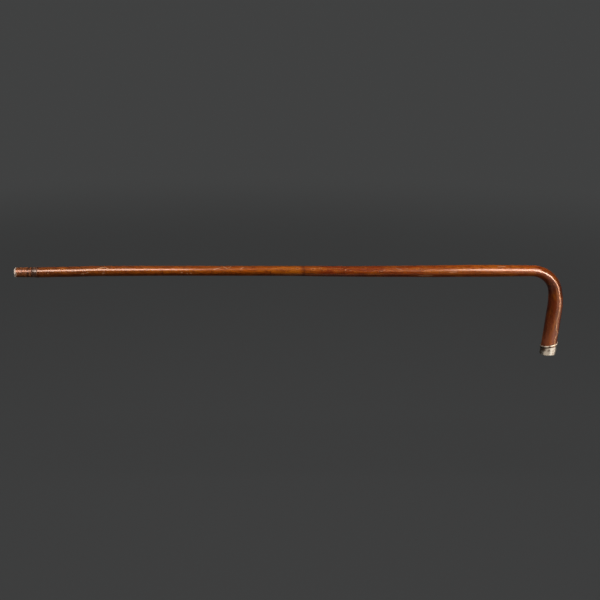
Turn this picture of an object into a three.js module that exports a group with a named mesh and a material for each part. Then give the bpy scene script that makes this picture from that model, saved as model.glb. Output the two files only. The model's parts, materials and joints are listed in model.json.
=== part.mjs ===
// A walking cane of bent wood: one stick, steam-bent and swelling into the handle, with a silver
// nose cap whose mouth is cut at a slant, and a turned metal ferrule under a dark collar.
// Millimetres, +Z up. The cane lies along +X with its handle hanging down.
// The origin is the centre of the ferrule's ground face.
import * as THREE from 'three';
import { mergeVertices } from 'three/addons/utils/BufferGeometryUtils.js';

// Stick
const shaftLength = 847; // ground face to the start of the handle's bend
const shaftDiameter = 17; // slimmest part of the shaft
const bendRadius = 42; // centreline of the tight bend
const sweepRadius = 130; // centreline of the slow curve that follows it
const noseLength = 77.8; // straight end of the handle, down to the cap's end face
const noseDiameter = 25.3; // thickest part of the handle
const bendAngle = THREE.MathUtils.degToRad(79);
const sweepAngle = THREE.MathUtils.degToRad(14.5);

// Nose cap
const capLength = 17.4; // end face to the middle of the mouth
const capWall = 0.55;
const capTaper = 0.6; // how much the radius shrinks from mouth to end
const capCorner = 2.6; // outside radius of the end's rounded edge
const capFilling = 4.6; // end face to the wood inside
const beadHeight = 2.2;
const beadRise = 0.6; // how far the bead stands out from the wall's inside
const mouthSlant = THREE.MathUtils.degToRad(18.5);

// Ferrule and collar
const tipThickness = 2.7; // solid plate that meets the ground
const tipBevel = 0.9;
const spigotLength = 5;
const sleeveLength = 25.8;
const sleeveWall = 0.8;
const sleeveStep = 0.65; // how far the sleeve lies below the wood's surface
const ringRise = 0.35; // rolled rings round the sleeve
const ringWidth = 2.6;
const ringSpacing = 7.2; // between the two rings
const ringSetback = 2.4; // upper ring to the sleeve's upper end
const collarLength = 8.7;
const collarBulge = 0.2;

// Shared by every joint between pieces
const clearance = 0.35;
const edgeBreak = 0.4; // small chamfer on turned edges

// Faces round each form
const woodSides = 32;
const metalSides = 36;
const shaftSteps = 44;
const bendSteps = 16;
const sweepSteps = 6;
const noseSteps = 4;
const cornerSteps = 5;
const beadSteps = 6;

// Girth along the straight shaft: share of its length, share of shaftDiameter.
const shaftGirthShares = [
  [0, 1.03], [0.18, 1.035], [0.3, 1], [0.52, 1.01], [0.62, 1.06], [0.72, 1.11], [0.84, 1.18],
  [0.9, 1.185], [1, 1.1],
];
// Height of the shaft's centreline: share of its length, share of shaftDiameter.
const shaftBowShares = [
  [0, 0], [0.045, 0], [0.09, 0.05], [0.17, 0.13], [0.3, 0.15], [0.52, 0.145], [0.66, 0.095],
  [0.78, 0.105], [0.9, 0.145], [1, 0.153],
];
// Swelling of the handle: share of its length, share of the way from shaft girth to nose girth.
const handleSwellShares = [
  [0, 0], [0.08, 0.06], [0.17, 0.2], [0.27, 0.36], [0.34, 0.54], [0.43, 0.8], [0.53, 0.97],
  [0.64, 1], [1, 1],
];
// Places across a rolled ring: share of half its width, from lower to upper edge.
const ringShares = [-1, -0.6, -0.25, 0.25, 0.6, 1];

// Reads a table of share pairs, easing between its rows so that no row leaves a kink.
function readShares(table, place) {
  const next = Math.max(1, table.findIndex((row) => row[0] >= place));
  const [low, high] = [table[next - 1], table[next]];
  const blend = THREE.MathUtils.smoothstep(place, low[0], high[0]);
  return THREE.MathUtils.lerp(low[1], high[1], blend);
}

const bendLength = bendRadius * bendAngle;
const sweepLength = sweepRadius * sweepAngle;
const handleLength = bendLength + sweepLength + noseLength;
const stickLength = shaftLength + handleLength;
const noseRadius = noseDiameter / 2;

// Radius of the bare wood at a distance along the centreline from the ground face.
function woodRadius(distance) {
  const shaftShare = readShares(shaftGirthShares, Math.min(1, distance / shaftLength));
  const radius = shaftDiameter / 2 * shaftShare;
  const place = Math.max(0, distance - shaftLength) / handleLength;
  return THREE.MathUtils.lerp(radius, noseRadius, readShares(handleSwellShares, Math.min(1, place)));
}

// Centre and downward turn of the stick at a distance along it: straight, bend, sweep, straight.
function stickPath(distance) {
  const bow = readShares(shaftBowShares, Math.min(1, distance / shaftLength));
  const centre = new THREE.Vector3(Math.min(distance, shaftLength), 0, bow * shaftDiameter);
  let turned = 0;
  let left = Math.max(0, distance - shaftLength);
  for (const [radius, angle] of [[bendRadius, bendAngle], [sweepRadius, sweepAngle]]) {
    const turn = Math.min(left / radius, angle);
    centre.x += radius * (Math.sin(turned + turn) - Math.sin(turned));
    centre.z -= radius * (Math.cos(turned) - Math.cos(turned + turn));
    left -= radius * turn;
    turned += turn;
  }
  if (distance > shaftLength + bendLength + sweepLength) {
    centre.x += left * Math.cos(turned);
    centre.z -= left * Math.sin(turned);
  }
  return { centre, turned };
}

// One ring of points round the stick's centreline, square to it.
function stickRing(distance, radius) {
  const { centre, turned } = stickPath(distance);
  const outward = new THREE.Vector3(Math.sin(turned), 0, Math.cos(turned));
  const side = new THREE.Vector3(0, -1, 0);
  return Array.from({ length: woodSides }, (_, index) => {
    const angle = index / woodSides * 2 * Math.PI;
    return centre.clone()
      .addScaledVector(outward, radius * Math.cos(angle))
      .addScaledVector(side, radius * Math.sin(angle));
  });
}

// Closed skin through a row of rings, with a flat fan over each end.
function loft(rings) {
  const sides = rings[0].length;
  const middle = (ring) => ring.reduce((sum, spot) => sum.add(spot), new THREE.Vector3())
    .divideScalar(sides);
  const spots = rings.flat();
  const first = spots.push(middle(rings[0])) - 1;
  const last = spots.push(middle(rings.at(-1))) - 1;
  const faces = [];
  for (let ring = 0; ring < rings.length; ring += 1) {
    const start = ring * sides;
    for (let index = 0; index < sides; index += 1) {
      const here = start + index;
      const beside = start + (index + 1) % sides;
      if (ring === 0) faces.push(first, beside, here);
      if (ring === rings.length - 1) faces.push(last, here, beside);
      else faces.push(here, beside, here + sides, beside, beside + sides, here + sides);
    }
  }
  const geometry = new THREE.BufferGeometry().setFromPoints(spots);
  geometry.setIndex(faces);
  geometry.computeVertexNormals();
  return geometry;
}

// Turned form about +Z from a profile of [radius, height] pairs.
function turn(profile) {
  const outline = profile.map(([radius, height]) => new THREE.Vector2(radius, height));
  const geometry = new THREE.LatheGeometry(outline, metalSides).rotateX(Math.PI / 2);
  geometry.deleteAttribute('normal');
  geometry.deleteAttribute('uv');
  const whole = mergeVertices(geometry);
  whole.computeVertexNormals();
  return whole;
}

// A ring-shaped profile closes on its own first point.
function turnRing(profile) {
  return turn([...profile, profile[0]]);
}

// Quarter round of a profile, from one angle to another about a centre.
function roundEdge(centreRadius, centreHeight, radius, fromDegrees, toDegrees) {
  return Array.from({ length: cornerSteps + 1 }, (_, index) => {
    const degrees = THREE.MathUtils.lerp(fromDegrees, toDegrees, index / cornerSteps);
    const angle = THREE.MathUtils.degToRad(degrees);
    return [centreRadius + radius * Math.cos(angle), centreHeight + radius * Math.sin(angle)];
  });
}

// Slants a turned form like the cap's mouth: fully at the mouth, not at all at the rounded edge.
function slant(geometry) {
  const place = geometry.getAttribute('position');
  for (let index = 0; index < place.count; index += 1) {
    const height = place.getZ(index);
    const share = THREE.MathUtils.clamp((height - capCorner) / (capLength - capCorner), 0, 1);
    place.setZ(index, height + share * Math.tan(mouthSlant) * place.getX(index));
  }
  geometry.computeVertexNormals();
  return geometry;
}

function piece(name, geometry, color, roughness, metalness) {
  const material = new THREE.MeshStandardMaterial({ color, roughness, metalness });
  const mesh = new THREE.Mesh(geometry, material);
  mesh.name = name;
  return mesh;
}

// Sizes that seat the ferrule and collar on the stick's foot
const ferruleLength = tipThickness + sleeveLength;
const shoulderHeight = ferruleLength + collarLength;
const footRadius = woodRadius(shoulderHeight);
const ferruleRadius = footRadius - sleeveStep;
const sleeveBore = ferruleRadius - sleeveWall;
const footTenonRadius = sleeveBore - clearance;
const footTenonStart = tipThickness + spigotLength + clearance;

// Sizes that seat the cap on the handle's nose
const capBore = noseRadius + clearance;
const capMouthRadius = capBore + capWall;
const capEndRadius = capMouthRadius - capTaper;
const capFlatRadius = capEndRadius - capCorner;
const capBoreAt = (height) => THREE.MathUtils.mapLinear(
  height, capCorner, capLength, capEndRadius - capWall, capBore,
);

// The stick: foot tenon, shoulder, shaft, bend, sweep, and the nose that runs down into the cap.
function makeStick() {
  const rings = [
    stickRing(footTenonStart, footTenonRadius - edgeBreak),
    stickRing(footTenonStart + edgeBreak, footTenonRadius),
    stickRing(shoulderHeight, footTenonRadius),
    stickRing(shoulderHeight, footRadius - edgeBreak),
    stickRing(shoulderHeight + edgeBreak, footRadius),
  ];
  const mouth = stickLength - capLength;
  const runs = [
    [shoulderHeight + edgeBreak, shaftLength, shaftSteps],
    [shaftLength, shaftLength + bendLength, bendSteps],
    [shaftLength + bendLength, stickLength - noseLength, sweepSteps],
    [stickLength - noseLength, mouth, noseSteps],
  ];
  for (const [start, end, steps] of runs) {
    for (let step = 1; step <= steps; step += 1) {
      const distance = THREE.MathUtils.lerp(start, end, step / steps);
      rings.push(stickRing(distance, woodRadius(distance)));
    }
  }
  const noseEndRadius = capBoreAt(capFilling) - clearance;
  rings.push(stickRing(stickLength - capFilling - edgeBreak, noseEndRadius));
  rings.push(stickRing(stickLength - capFilling, noseEndRadius - edgeBreak));
  return piece('stick', loft(rings), 0x8a3d1a, 0.3, 0);
}

// Solid metal plate that meets the ground, with a spigot up inside the sleeve.
function makeFerruleTip() {
  const spigotRadius = sleeveBore - clearance;
  const spigotTop = tipThickness + spigotLength;
  const profile = [
    [0, 0],
    [ferruleRadius - tipBevel, 0],
    [ferruleRadius, tipBevel],
    [ferruleRadius, tipThickness],
    [spigotRadius, tipThickness],
    [spigotRadius, spigotTop - edgeBreak],
    [spigotRadius - edgeBreak, spigotTop],
    [0, spigotTop],
  ];
  return piece('ferrule_tip', turn(profile), 0xcbb49c, 0.35, 1);
}

// Thin sleeve with two rolled rings near its upper end.
function makeFerruleSleeve() {
  const upperRing = ferruleLength - ringSetback;
  const profile = [[ferruleRadius, tipThickness]];
  for (const middle of [upperRing - ringSpacing, upperRing]) {
    for (const share of ringShares) {
      const rise = ringRise * (1 - share * share);
      profile.push([ferruleRadius + rise, middle + share * ringWidth / 2]);
    }
  }
  profile.push(
    [ferruleRadius, ferruleLength - edgeBreak],
    [ferruleRadius - edgeBreak, ferruleLength],
    [sleeveBore, ferruleLength],
    [sleeveBore, tipThickness],
  );
  return piece('ferrule_sleeve', turnRing(profile), 0xa9683c, 0.35, 1);
}

// Dark turned collar that closes the step between sleeve and wood.
function makeTipCollar() {
  const middle = (ferruleLength + shoulderHeight) / 2;
  const profile = [
    [ferruleRadius, ferruleLength],
    [(ferruleRadius + footRadius) / 2 + collarBulge, middle],
    [footRadius, shoulderHeight - edgeBreak],
    [footRadius - edgeBreak, shoulderHeight],
    [sleeveBore, shoulderHeight],
    [sleeveBore, ferruleLength],
  ];
  return piece('tip_collar', turnRing(profile), 0x1d1714, 0.3, 0);
}

// Silver side wall of the cap: a slanted mouth, a slight taper and a rounded lower edge.
function makeCapBand() {
  const innerCorner = capCorner - capWall;
  const profile = [
    ...roundEdge(capFlatRadius, capCorner, capCorner, -90, 0),
    [capMouthRadius, capLength],
    [capBore, capLength],
    ...roundEdge(capFlatRadius, capCorner, innerCorner, 0, -90),
  ];
  return piece('cap_band', slant(turnRing(profile)), 0xc9c3b4, 0.25, 1);
}

// Half-round wire soldered along the slanted mouth.
function makeCapBead() {
  const low = capLength + clearance;
  const profile = [
    [capBore, low + beadHeight],
    [capBore, low],
  ];
  for (let step = 0; step <= beadSteps; step += 1) {
    const share = (step + 0.5) / (beadSteps + 1);
    const angle = THREE.MathUtils.lerp(-Math.PI / 2, Math.PI / 2, share);
    const height = low + beadHeight / 2 * (1 + Math.sin(angle));
    profile.push([capBore + capWall / 2 + beadRise * Math.cos(angle), height]);
  }
  return piece('cap_bead', slant(turnRing(profile)), 0xd6d0c2, 0.22, 1);
}

// Disc soldered into the end of the cap.
function makeCapEnd() {
  const radius = capFlatRadius - clearance;
  const profile = [[0, 0], [radius, 0], [radius, capWall], [0, capWall]];
  return piece('cap_end', turn(profile), 0xc2bcae, 0.3, 1);
}

// Filling that beds the cap on the wood.
function makeCapFilling() {
  const innerCorner = capCorner - capWall - clearance;
  const low = capWall + clearance;
  const top = capFilling - clearance;
  const profile = [
    [0, low],
    ...roundEdge(capFlatRadius, capCorner, innerCorner, -90, 0),
    [capBoreAt(top) - clearance, top],
    [0, top],
  ];
  return piece('cap_filling', turn(profile), 0x3a2a20, 0.8, 0);
}

const ferrule = new THREE.Group();
ferrule.add(makeFerruleTip(), makeFerruleSleeve(), makeTipCollar());
ferrule.rotation.y = Math.PI / 2;

const cap = new THREE.Group();
const noseEnd = stickPath(stickLength);
cap.add(makeCapBand(), makeCapBead(), makeCapEnd(), makeCapFilling());
cap.position.copy(noseEnd.centre);
cap.rotation.y = noseEnd.turned - Math.PI / 2;

const group = new THREE.Group();
group.add(makeStick(), ferrule, cap);

export default group;
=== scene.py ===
# The look of a bentwood walking cane: a fine skin of worn varnish over the stick, a turned ferrule
# and a dented silver nose cap. Metres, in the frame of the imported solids.
import json
import math
import bpy
from mathutils import Matrix, Vector, noise

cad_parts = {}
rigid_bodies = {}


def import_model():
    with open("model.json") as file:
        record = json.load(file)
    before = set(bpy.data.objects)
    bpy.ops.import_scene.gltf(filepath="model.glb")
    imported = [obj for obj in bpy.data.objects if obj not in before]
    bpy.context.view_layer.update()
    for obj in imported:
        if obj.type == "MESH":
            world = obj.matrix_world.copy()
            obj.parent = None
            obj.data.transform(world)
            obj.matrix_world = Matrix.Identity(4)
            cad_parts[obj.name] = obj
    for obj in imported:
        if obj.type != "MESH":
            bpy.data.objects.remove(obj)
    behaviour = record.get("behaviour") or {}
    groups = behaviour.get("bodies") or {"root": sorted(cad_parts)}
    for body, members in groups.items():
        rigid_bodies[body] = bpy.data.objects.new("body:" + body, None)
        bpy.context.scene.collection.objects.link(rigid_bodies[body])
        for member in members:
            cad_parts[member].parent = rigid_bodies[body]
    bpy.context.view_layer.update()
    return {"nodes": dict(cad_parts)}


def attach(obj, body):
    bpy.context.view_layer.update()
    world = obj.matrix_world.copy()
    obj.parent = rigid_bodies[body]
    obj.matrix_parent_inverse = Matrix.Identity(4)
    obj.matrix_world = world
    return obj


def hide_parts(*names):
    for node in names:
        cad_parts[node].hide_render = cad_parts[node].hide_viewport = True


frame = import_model()

MM = 0.001
TAU = 2 * math.pi

# Stick: the driving sizes of the solid model
SHAFT_LENGTH = 847 * MM
SHAFT_DIAMETER = 17 * MM
BEND_RADIUS = 42 * MM
SWEEP_RADIUS = 130 * MM
NOSE_LENGTH = 77.8 * MM
NOSE_RADIUS = 25.3 / 2 * MM
BEND_ANGLE = math.radians(79)
SWEEP_ANGLE = math.radians(14.5)

# Nose cap
CAP_LENGTH = 17.4 * MM
CAP_WALL = 0.55 * MM
CAP_TAPER = 0.6 * MM
CAP_CORNER = 2.6 * MM
CAP_FILLING = 4.6 * MM
BEAD_HEIGHT = 2.2 * MM
BEAD_RISE = 0.6 * MM
MOUTH_SLANT = math.radians(18.5)

# Ferrule and collar
TIP_THICKNESS = 2.7 * MM
TIP_BEVEL = 0.9 * MM
SPIGOT_LENGTH = 5 * MM
SLEEVE_LENGTH = 25.8 * MM
SLEEVE_WALL = 0.8 * MM
SLEEVE_STEP = 0.65 * MM
RING_RISE = 0.35 * MM
RING_WIDTH = 2.6 * MM
RING_SPACING = 7.2 * MM
RING_SETBACK = 2.4 * MM
COLLAR_LENGTH = 8.7 * MM
COLLAR_BULGE = 0.2 * MM

CLEARANCE = 0.35 * MM
EDGE_BREAK = 0.4 * MM

# Share of the shaft's length, share of its diameter
SHAFT_GIRTH = [(0, 1.03), (0.18, 1.035), (0.3, 1), (0.52, 1.01), (0.62, 1.06), (0.72, 1.11),
               (0.84, 1.18), (0.9, 1.185), (1, 1.1)]
SHAFT_BOW = [(0, 0), (0.045, 0), (0.09, 0.05), (0.17, 0.13), (0.3, 0.15), (0.52, 0.145),
             (0.66, 0.095), (0.78, 0.105), (0.9, 0.145), (1, 0.153)]
# Share of the handle's length, share of the way from shaft girth to nose girth
HANDLE_SWELL = [(0, 0), (0.08, 0.06), (0.17, 0.2), (0.27, 0.36), (0.34, 0.54), (0.43, 0.8),
                (0.53, 0.97), (0.64, 1), (1, 1)]

BEND_LENGTH = BEND_RADIUS * BEND_ANGLE
SWEEP_LENGTH = SWEEP_RADIUS * SWEEP_ANGLE
HANDLE_LENGTH = BEND_LENGTH + SWEEP_LENGTH + NOSE_LENGTH
STICK_LENGTH = SHAFT_LENGTH + HANDLE_LENGTH

# Wear of the cap, seen in the photograph and not in the solids: the sag of its mouth, the tighter
# rounding of its lower edge, the end that lies lower on the inner side, the worn outer corner
MOUTH_SAG = 1.5 * MM
CAP_EDGE = 1.4 * MM
END_DROP = 0.9 * MM
END_DROP_HEIGHT = 8 * MM
CORNER_WEAR = 0.8 * MM
CORNER_WEAR_HEIGHT = 3 * MM

# Depth of the wear in the wood. The rim of a healed knot stands out by KNOT_RISE, and the broken edge
# of the varnish by VARNISH_LIP.
SLOW_WAVES = 0.15 * MM
QUICK_WAVES = 0.1 * MM
KNOT_HEART = 0.16 * MM
KNOT_RISE = 0.1 * MM
SCRATCH_DEPTH = 0.12 * MM
BARE_DEPTH = 0.14 * MM
VARNISH_LIP = 0.08 * MM

# Depth of the wear in the metal and the horn
CAP_WOBBLE = 0.1 * MM
BEAD_WOBBLE = 0.14 * MM
DISC_DISH = 0.25 * MM
FERRULE_WOBBLE = 0.06 * MM
PLATE_NICK = 0.5 * MM
PLATE_BATTER = 0.25 * MM
COLLAR_WEAR = 0.02 * MM

# Fineness of the skins
WOOD_SIDES = 96
WOOD_STEP = 1.05 * MM
METAL_SIDES = 128
INNERMOST_RADIUS = 0.4 * MM

# Knocked stretches of the stick, in metres along it: round a spot near the foot, the four places
# where one in the middle rises and falls, and the two before the end where the last one rises
KNOCKED_FOOT = 0.132
KNOCKED_FOOT_SPREAD = 0.03
KNOCKED_MIDDLE = (0.27, 0.34, 0.44, 0.52)
KNOCKED_END = (0.08, 0.04)

# Painted shade on top of the shaft, in metres along the stick: where it grows less towards the handle
TOP_SHADE_FADE = (0.6, 0.75)

# Darkening of the varnish by the cap, as heights above the wire where it ends and where it is full: a
# thin dark line all round, and a haze of painted shade on the inner side. Likewise the depths below
# the wire for the silver.
RIM_LINE = (2.4 * MM, 0.6 * MM)
RIM_HAZE = (28 * MM, 3 * MM)
GROOVE_TARNISH = (2.6 * MM, 1.2 * MM)

# Middle of the nick in the ground plate and of the rubbed spot on the sleeve beside it, in degrees
NICK_DEGREES = 100

# Pale marks in the varnish: distance along the stick in metres, degrees round it, length, width,
# slope, strength. 0 degrees faces up, or out of the bend, and 90 degrees faces the front.
MARKS = [
    (0.142, 40, 0.014, 0.0011, 0.22, 1.0),
    (0.152, 47, 0.005, 0.0012, -0.9, 0.9),
    (0.118, 52, 0.007, 0.0010, 0.10, 0.6),
    (0.124, 66, 0.012, 0.0009, -0.05, 0.5),
    (0.112, 104, 0.006, 0.0013, 0.15, 0.8),
    (0.120, 92, 0.005, 0.0012, 0.30, 0.7),
    (0.146, 103, 0.004, 0.0015, 0.60, 0.9),
    (0.056, 88, 0.003, 0.0014, 0.50, 0.7),
    (0.262, 62, 0.010, 0.0010, -0.25, 0.6),
    (0.274, 95, 0.003, 0.0014, 0.40, 0.9),
    (0.283, 108, 0.002, 0.0014, 0.00, 0.8),
    (0.289, 104, 0.003, 0.0015, -0.50, 1.0),
    (0.331, 50, 0.012, 0.0009, 0.30, 0.7),
    (0.345, 38, 0.008, 0.0009, -0.60, 0.8),
    (0.352, 30, 0.005, 0.0010, 0.90, 0.7),
    (0.372, 44, 0.006, 0.0011, 0.70, 0.7),
    (0.541, 60, 0.003, 0.0018, 0.80, 0.4),
    (0.548, 66, 0.002, 0.0012, 0.00, 0.3),
    (0.628, 52, 0.011, 0.0011, -0.30, 0.3),
    (0.640, 44, 0.006, 0.0009, -0.60, 0.25),
    (0.672, 125, 0.026, 0.0007, 0.01, 0.7),
    (0.602, 70, 0.010, 0.0009, 0.35, 0.25),
    (0.716, 86, 0.013, 0.0010, 0.05, 0.5),
    (0.7955, 31, 0.014, 0.0010, 0.05, 0.7),
]

# Healed knots: distance along the stick in metres, degrees round it, half length
KNOTS = [
    (0.463, 48, 3.4 * MM), (0.488, 55, 3.8 * MM), (0.500, 42, 2.8 * MM), (0.335, 200, 3.2 * MM),
    (0.226, 250, 3.0 * MM), (0.580, 150, 3.6 * MM), (0.690, 290, 3.4 * MM), (0.760, 12, 2.6 * MM),
    (0.400, 305, 3.0 * MM), (0.178, 140, 2.6 * MM), (0.905, 230, 3.2 * MM), (0.622, 340, 2.8 * MM),
]
# Width of a knot as a share of its length
KNOT_WIDTH = 0.62

# Where the lifted varnish ends near the cap: height above the cap, degrees round the stick
PEEL_COURSE = [
    (2 * MM, 66), (5 * MM, 62), (9 * MM, 62), (12 * MM, 68), (15.5 * MM, 62), (19 * MM, 50),
    (22.5 * MM, 42), (26 * MM, 60), (29.5 * MM, 73), (36 * MM, 74), (40 * MM, 75), (43.5 * MM, 73),
    (47 * MM, 79), (50 * MM, 77), (54 * MM, 71), (57 * MM, 72), (61 * MM, 69), (65 * MM, 71),
    (69 * MM, 60), (75 * MM, 54),
]
# Heights above the cap where the lifted varnish ends and is full, and where its edge is faint
PEEL_TOP = (75 * MM, 67 * MM)
PEEL_FAINT = (36 * MM, 41 * MM, 59 * MM, 64 * MM)

# Dents in the silver: height above the end face, degrees round the cap, half width, depth
CAP_DENTS = [
    (6.5 * MM, 110, 3.4 * MM, 0.20 * MM), (9.0 * MM, 62, 2.6 * MM, 0.14 * MM),
    (3.6 * MM, 104, 2.2 * MM, 0.22 * MM), (10.5 * MM, 140, 2.8 * MM, 0.20 * MM),
    (7.0 * MM, 30, 2.2 * MM, 0.26 * MM), (5.6 * MM, 200, 3.0 * MM, 0.34 * MM),
    (9.4 * MM, 262, 3.2 * MM, 0.30 * MM), (3.4 * MM, 318, 2.2 * MM, 0.24 * MM),
]

# Soft spots on the silver: strength of tarnish and painted light, degrees round the cap, spread in
# radians, height above the end face, spread in height. Dark spots are partly tarnish and partly
# painted shade, and negative spots are painted highlights that make the metal bright.
CAP_SPOTS = [
    (0.75, 104, 0.18, 10 * MM, 4 * MM), (0.7, 63, 0.18, 9 * MM, 8 * MM),
    (0.7, 143, 0.26, 12.5 * MM, 3.5 * MM), (-1.0, 127, 0.3, 4 * MM, 5 * MM),
    (-0.6, 86, 0.12, 5 * MM, 7 * MM),
]


def smooth(low, high, value):
    """0 at low and before it, 1 at high and past it, eased between them. High may be the lesser."""
    share = min(max((value - low) / (high - low), 0), 1)
    return share * share * (3 - 2 * share)


def hill(places, value):
    """1 between the second and the third of four places, eased to 0 at the first and the fourth."""
    return smooth(places[0], places[1], value) * smooth(places[3], places[2], value)


def read_table(table, place):
    """Value of a table of pairs at a place, eased between its rows."""
    place = min(max(place, table[0][0]), table[-1][0])
    upper = max(1, next(i for i, row in enumerate(table) if row[0] >= place))
    low, high = table[upper - 1], table[upper]
    return low[1] + (high[1] - low[1]) * smooth(low[0], high[0], place)


def wrapped(angle):
    """The same angle, from minus half a turn to half a turn."""
    return (angle + math.pi) % TAU - math.pi


def degrees_from(middle, angle):
    """Degrees between a middle in degrees and an angle in radians, from 0 to 180."""
    return abs((math.degrees(angle) + 180 - middle) % 360 - 180)


def rough_noise(x, y, z, seed):
    """Smooth noise from 0 to 1."""
    value = noise.noise(Vector((x + 31.7 * seed, y - 12.9 * seed, z + 7.3 * seed)))
    return min(max(0.5 + 0.6 * value, 0), 1)


def wood_radius(distance):
    """Radius of the bare wood at a distance along the stick from the ground face."""
    radius = SHAFT_DIAMETER / 2 * read_table(SHAFT_GIRTH, distance / SHAFT_LENGTH)
    place = (distance - SHAFT_LENGTH) / HANDLE_LENGTH
    return radius + (NOSE_RADIUS - radius) * read_table(HANDLE_SWELL, place)


def stick_path(distance):
    """Centre and downward turn of the stick: straight, bend, sweep, straight."""
    bow = read_table(SHAFT_BOW, distance / SHAFT_LENGTH) * SHAFT_DIAMETER
    centre = Vector((min(distance, SHAFT_LENGTH), 0, bow))
    turned = 0
    left = max(0, distance - SHAFT_LENGTH)
    for radius, angle in ((BEND_RADIUS, BEND_ANGLE), (SWEEP_RADIUS, SWEEP_ANGLE)):
        turn = min(left / radius, angle)
        centre.x += radius * (math.sin(turned + turn) - math.sin(turned))
        centre.z -= radius * (math.cos(turned) - math.cos(turned + turn))
        left -= radius * turn
        turned += turn
    if left > 0:
        centre.x += left * math.cos(turned)
        centre.z -= left * math.sin(turned)
    return centre, turned


FERRULE_LENGTH = TIP_THICKNESS + SLEEVE_LENGTH
UPPER_RING = FERRULE_LENGTH - RING_SETBACK
LOWER_RING = UPPER_RING - RING_SPACING
SHOULDER = FERRULE_LENGTH + COLLAR_LENGTH
FOOT_RADIUS = wood_radius(SHOULDER)
FERRULE_RADIUS = FOOT_RADIUS - SLEEVE_STEP
SLEEVE_BORE = FERRULE_RADIUS - SLEEVE_WALL
FOOT_TENON_RADIUS = SLEEVE_BORE - CLEARANCE
FOOT_TENON_START = TIP_THICKNESS + SPIGOT_LENGTH + CLEARANCE
CAP_BORE = NOSE_RADIUS + CLEARANCE
CAP_MOUTH_RADIUS = CAP_BORE + CAP_WALL
CAP_END_RADIUS = CAP_MOUTH_RADIUS - CAP_TAPER
CAP_FLAT_RADIUS = CAP_END_RADIUS - CAP_CORNER
DISC_RADIUS = CAP_FLAT_RADIUS - CLEARANCE / 3
BEAD_START = CAP_LENGTH + CLEARANCE


def cap_bore_at(height):
    """Radius inside the cap at a height above its end face."""
    share = (height - CAP_CORNER) / (CAP_LENGTH - CAP_CORNER)
    return CAP_END_RADIUS - CAP_WALL + (CAP_BORE - CAP_END_RADIUS + CAP_WALL) * share


def bead_top(angle):
    """Height of the wire's upper edge above the cap's end face at an angle round the stick."""
    return BEAD_START + BEAD_HEIGHT - MOUTH_SAG + math.tan(MOUTH_SLANT) * NOSE_RADIUS * math.cos(angle)


def mark_strength(distance, angle, radius):
    """How strongly a spot of the varnish is scratched, from 0 to 1."""
    strength = 0
    for at, degrees, length, width, slope, power in MARKS:
        along = distance - at
        if abs(along) > length:
            continue
        across = wrapped(math.radians(degrees) - angle)
        off = abs(across * radius - slope * along)
        ends = 1 - smooth(0.35 * length, 0.55 * length, abs(along))
        strength = max(strength, power * ends * (1 - smooth(0.3 * width, width, off)))
    return strength


def knot_reach(distance, angle, radius):
    """Distance from the nearest healed knot in its own half lengths, at most 2."""
    nearest = 2
    for at, degrees, size in KNOTS:
        along = distance - at
        if abs(along) > 2 * size:
            continue
        across = wrapped(math.radians(degrees) - angle)
        nearest = min(nearest, math.hypot(along / size, across * radius / (KNOT_WIDTH * size)))
    return nearest


def peel_edge(distance, angle):
    """Where the varnish near the cap has lifted, on the outer side of the handle: how much of its
    edge is at a spot, and how bare the spot is, both from 0 to 1."""
    above_cap = STICK_LENGTH - CAP_LENGTH - distance
    reach = smooth(*PEEL_TOP, above_cap)
    start = read_table(PEEL_COURSE, above_cap) + 5 * rough_noise(distance * 330, 0, 0, 4) - 2.5
    degrees = math.degrees(wrapped(angle))
    broken = 0.4 + 0.6 * smooth(0.3, 0.5, rough_noise(distance * 240, 0, 0, 10))
    faint = 1 - 0.55 * hill(PEEL_FAINT, above_cap)
    edge = smooth(6, 2.5, abs(degrees - start)) * reach * broken * faint
    bare = smooth(start, start - 6, degrees) * reach * smooth(-40, -10, degrees)
    return edge, bare


def battered(distance):
    """How knocked the varnish is along the stick, from 0.2 to 1."""
    foot = math.exp(-(((distance - KNOCKED_FOOT) / KNOCKED_FOOT_SPREAD) ** 2))
    end = smooth(*KNOCKED_END, STICK_LENGTH - distance)
    return 0.2 + 0.8 * max(foot, 0.8 * hill(KNOCKED_MIDDLE, distance), end)


def relief(distance, angle, radius):
    """How far the worn skin lies below the full wood, never above it."""
    x, y, z = distance, radius * math.sin(angle), radius * math.cos(angle)
    slow = rough_noise(x * 22, y * 60, z * 60, 1)
    quick = rough_noise(x * 90, y * 190, z * 190, 2)
    depth = SLOW_WAVES * slow + QUICK_WAVES * battered(distance) * quick
    knot = knot_reach(distance, angle, radius)
    depth += KNOT_HEART * (1 - smooth(0, 0.8, knot)) + KNOT_RISE * smooth(0.9, 1.9, knot)
    depth += SCRATCH_DEPTH * mark_strength(distance, angle, radius)
    edge, bare = peel_edge(distance, angle)
    return depth + BARE_DEPTH * bare - VARNISH_LIP * edge


class SkinBuilder:
    """Collects rings of points and joins neighbours with quads."""

    def __init__(self, sides):
        self.sides = sides
        self.points = []
        self.faces = []
        self.rings = 0

    def ring(self, points):
        """Adds a ring and joins it to the one before."""
        self.points.extend(points)
        if self.rings:
            low = (self.rings - 1) * self.sides
            high = low + self.sides
            for index in range(self.sides):
                beside = (index + 1) % self.sides
                self.faces.append((low + index, low + beside, high + beside, high + index))
        self.rings += 1

    def cap_ends(self):
        """Closes the first and the last ring with a flat face each."""
        last = (self.rings - 1) * self.sides
        self.faces.append(tuple(range(self.sides - 1, -1, -1)))
        self.faces.append(tuple(range(last, last + self.sides)))

    def join_ends(self):
        """Joins the last ring to the first."""
        last = (self.rings - 1) * self.sides
        for index in range(self.sides):
            beside = (index + 1) % self.sides
            self.faces.append((last + index, last + beside, beside, index))


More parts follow.
